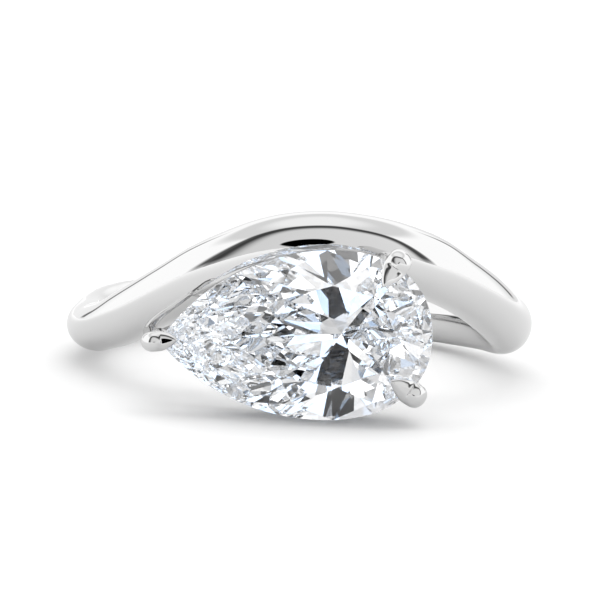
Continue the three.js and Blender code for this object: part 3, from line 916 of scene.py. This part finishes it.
def tent_light(nodes, x, y, z):
    """Brightness of the tent by direction. A grey card with rounded corners hangs in front, edged
    by a dark seam, with the dark lens in it. The walls are bright, a little less so high up and
    behind the ring, and behind it two narrow dark corners stand."""
    depth = y.math("ABSOLUTE") + 0.001
    across, rise = x / depth, z / depth
    front = 1 - nodes.step(y, *FRONT_BOUNDS)
    wide, high = (across - CARD_MIDDLE) / CARD_HALF[0], rise / CARD_HALF[1]
    wide, high = wide * wide, high * high
    reach = (wide * wide + high * high) ** 0.25
    card = (1 - nodes.step(reach, *CARD_BOUNDS)) * front
    seam = (1 - nodes.step((reach - 1).math("ABSOLUTE"), *SEAM_BOUNDS)) * front
    seam = seam * (SEAM_LOW + nodes.step(z, *SEAM_FLOOR) * (1 - SEAM_LOW))
    wide, high = (across - LENS_MIDDLE[0]) / LENS_HALF[0], (rise - LENS_MIDDLE[1]) / LENS_HALF[1]
    lens = (1 - nodes.step(wide * wide + high * high, *LENS_BOUNDS)) * front
    corner = nodes.step(z, *CORNER_FOOT) * (1 - nodes.step(z, *CORNER_TOP)) * (1 - front)
    corner_gap = (across.math("ABSOLUTE") - CORNER_ACROSS).math("ABSOLUTE")
    corner = corner * (1 - nodes.step(corner_gap, *CORNER_BOUNDS))
    behind = nodes.step(y, *BEHIND_BOUNDS) * (1 - nodes.step(z, *BEHIND_TOP))
    wall = WALL_BRIGHT - nodes.step(z, *DIP_BOUNDS) * WALL_DIP + nodes.step(z, *TOP_BOUNDS) * TOP_RISE
    wall = wall - behind * (BEHIND_DIP + x * BEHIND_SLOPE)
    light = wall * (1 - card) + card * (CARD_GREY + across * CARD_SLOPE)
    return light * (1 - seam * SEAM_DARK) * (1 - corner * CORNER_DARK) * (1 - lens)


def stone_light(nodes, place):
    """Brightness of the light that the eye gets through the stone: even, but for the dark cone
    round the camera and the dark patches."""
    _, up, back = view_axes()
    middle = back * np.cos(np.radians(GEM_TILT)) + up * np.sin(np.radians(GEM_TILT))
    toward = nodes.add("ShaderNodeVectorMath", {"operation": "DOT_PRODUCT"}, {0: place, 1: tuple(middle)})
    toward = nodes.value(toward, "Value")
    hood = nodes.step(toward, np.cos(np.radians(GEM_HOOD + GEM_HOOD_EDGE)), np.cos(np.radians(GEM_HOOD)))
    patches = nodes.step(nodes.noise(place, GEM_PATCH, 0), GEM_LOW, GEM_LOW + GEM_LOW_EDGE)
    return GEM_BRIGHT * (1 - hood) * (1 - patches)


def hang_tent(scene):
    """The world: white to the camera, the tent to polished metal, the stone's own light to rays
    that leave the stone, and the tent with extra light from above to the floor."""
    world = bpy.data.worlds.new("white_tent")
    world.use_nodes = True
    scene.world = world
    nodes = Nodes(world.node_tree)
    place = nodes.add("ShaderNodeTexCoord").outputs["Generated"]
    parts = nodes.add("ShaderNodeSeparateXYZ", None, {0: place})
    x, y, z = (nodes.value(parts, k) for k in range(3))
    path = nodes.add("ShaderNodeLightPath")
    seen = nodes.value(path, "Is Camera Ray")
    inside = nodes.value(path, "Is Transmission Ray")
    tent = tent_light(nodes, x, y, z) * finish().light
    tent = tent * (1 + nodes.value(path, "Is Diffuse Ray") * z * z * FLOOR_LIFT)
    strength = tent * (1 - seen) * (1 - inside) + inside * stone_light(nodes, place) + seen
    cool = nodes.step(nodes.noise(place, GEM_COOL_PATCH, 0), *GEM_COOL_BOUNDS)
    tint = nodes.mix(cool * inside, (1, 1, 1, 1), GEM_COOL)
    shader = nodes.add("ShaderNodeBackground", None, {"Color": tint, "Strength": strength})
    nodes.add("ShaderNodeOutputWorld", None, {"Surface": shader.outputs[0]})


def place_camera(scene):
    """The photograph's camera: its lens makes the picture span the named size at the ring."""
    data = bpy.data.cameras.new("camera")
    data.sensor_width = SENSOR_WIDTH
    data.lens = SENSOR_WIDTH * VIEW_DISTANCE / VIEW_SPAN
    data.clip_start, data.clip_end = 0.01, 10
    camera = bpy.data.objects.new("camera", data)
    scene.collection.objects.link(camera)
    camera.matrix_world = view_matrix()
    scene.camera = camera


class RING_OT_stage(bpy.types.Operator):
    """Make the floor, the white tent of light and the camera."""

    bl_idname = "ring.stage"
    bl_label = "Stage"

    def execute(self, context):
        scene = context.scene
        scene.view_settings.view_transform = "Standard"
        scene.cycles.max_bounces = STONE_BOUNCES
        scene.cycles.transmission_bounces = STONE_BOUNCES
        scene.cycles.glossy_bounces = MIRROR_BOUNCES
        scene.cycles.diffuse_bounces = FLOOR_BOUNCES
        lay_floor(scene)
        hang_tent(scene)
        place_camera(scene)
        return {"FINISHED"}


def view_axes():
    """Right, up and backward directions of the camera in the row frame."""
    right = np.array([np.cos(VIEW_ROLL), 0, np.sin(VIEW_ROLL)])
    up = np.array([-np.sin(VIEW_ROLL), 0, np.cos(VIEW_ROLL)])
    back = np.array([0, -np.cos(VIEW_RISE), 0]) + up * np.sin(VIEW_RISE)
    rows = np.array([right, np.cross(back, right), back])
    return resting(rows) - resting(np.zeros((1, 3)))


def view_matrix():
    """Camera place and turn: along its own backward direction from the finger hole's middle, and
    then a little across and up, so that the hole's middle shows where the picture has it."""
    right, up, back = view_axes()
    place = resting(np.zeros((1, 3)))[0] + back * VIEW_DISTANCE + right * VIEW_LEFT + up * VIEW_DOWN
    matrix = np.eye(4)
    matrix[:3, 0], matrix[:3, 1], matrix[:3, 2], matrix[:3, 3] = right, up, back, place
    return Matrix(matrix.tolist())


class RING_PT_panel(bpy.types.Panel):
    """Lists the ring's sizes, finishes and pieces."""

    bl_label = "East West Ring"
    bl_idname = "RING_PT_panel"
    bl_space_type = "VIEW_3D"
    bl_region_type = "UI"
    bl_category = "Ring"

    def draw(self, context):
        for group in (context.scene.ring_sizes, context.scene.ring_finish):
            box = self.layout.box()
            for name in group.__annotations__:
                box.prop(group, name)
        for operator in OPERATORS:
            self.layout.operator(operator.bl_idname)


OPERATORS = (RING_OT_band, RING_OT_basket, RING_OT_claws, RING_OT_stone, RING_OT_stage)
CLASSES = (RingSizes, RingFinish, *OPERATORS, RING_PT_panel)


def register():
    """Registers the classes and hangs the sizes and colours on the scene."""
    for cls in CLASSES:
        bpy.utils.register_class(cls)
    bpy.types.Scene.ring_sizes = PointerProperty(type=RingSizes)
    bpy.types.Scene.ring_finish = PointerProperty(type=RingFinish)


def unregister():
    """Takes back what register did."""
    del bpy.types.Scene.ring_finish
    del bpy.types.Scene.ring_sizes
    for cls in reversed(CLASSES):
        bpy.utils.unregister_class(cls)


def main():
    """Makes all pieces and the stage."""
    register()
    bpy.ops.ring.band()
    bpy.ops.ring.basket()
    bpy.ops.ring.claws()
    bpy.ops.ring.stone()
    bpy.ops.ring.stage()
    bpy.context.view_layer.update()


if __name__ == "__main__":
    main()
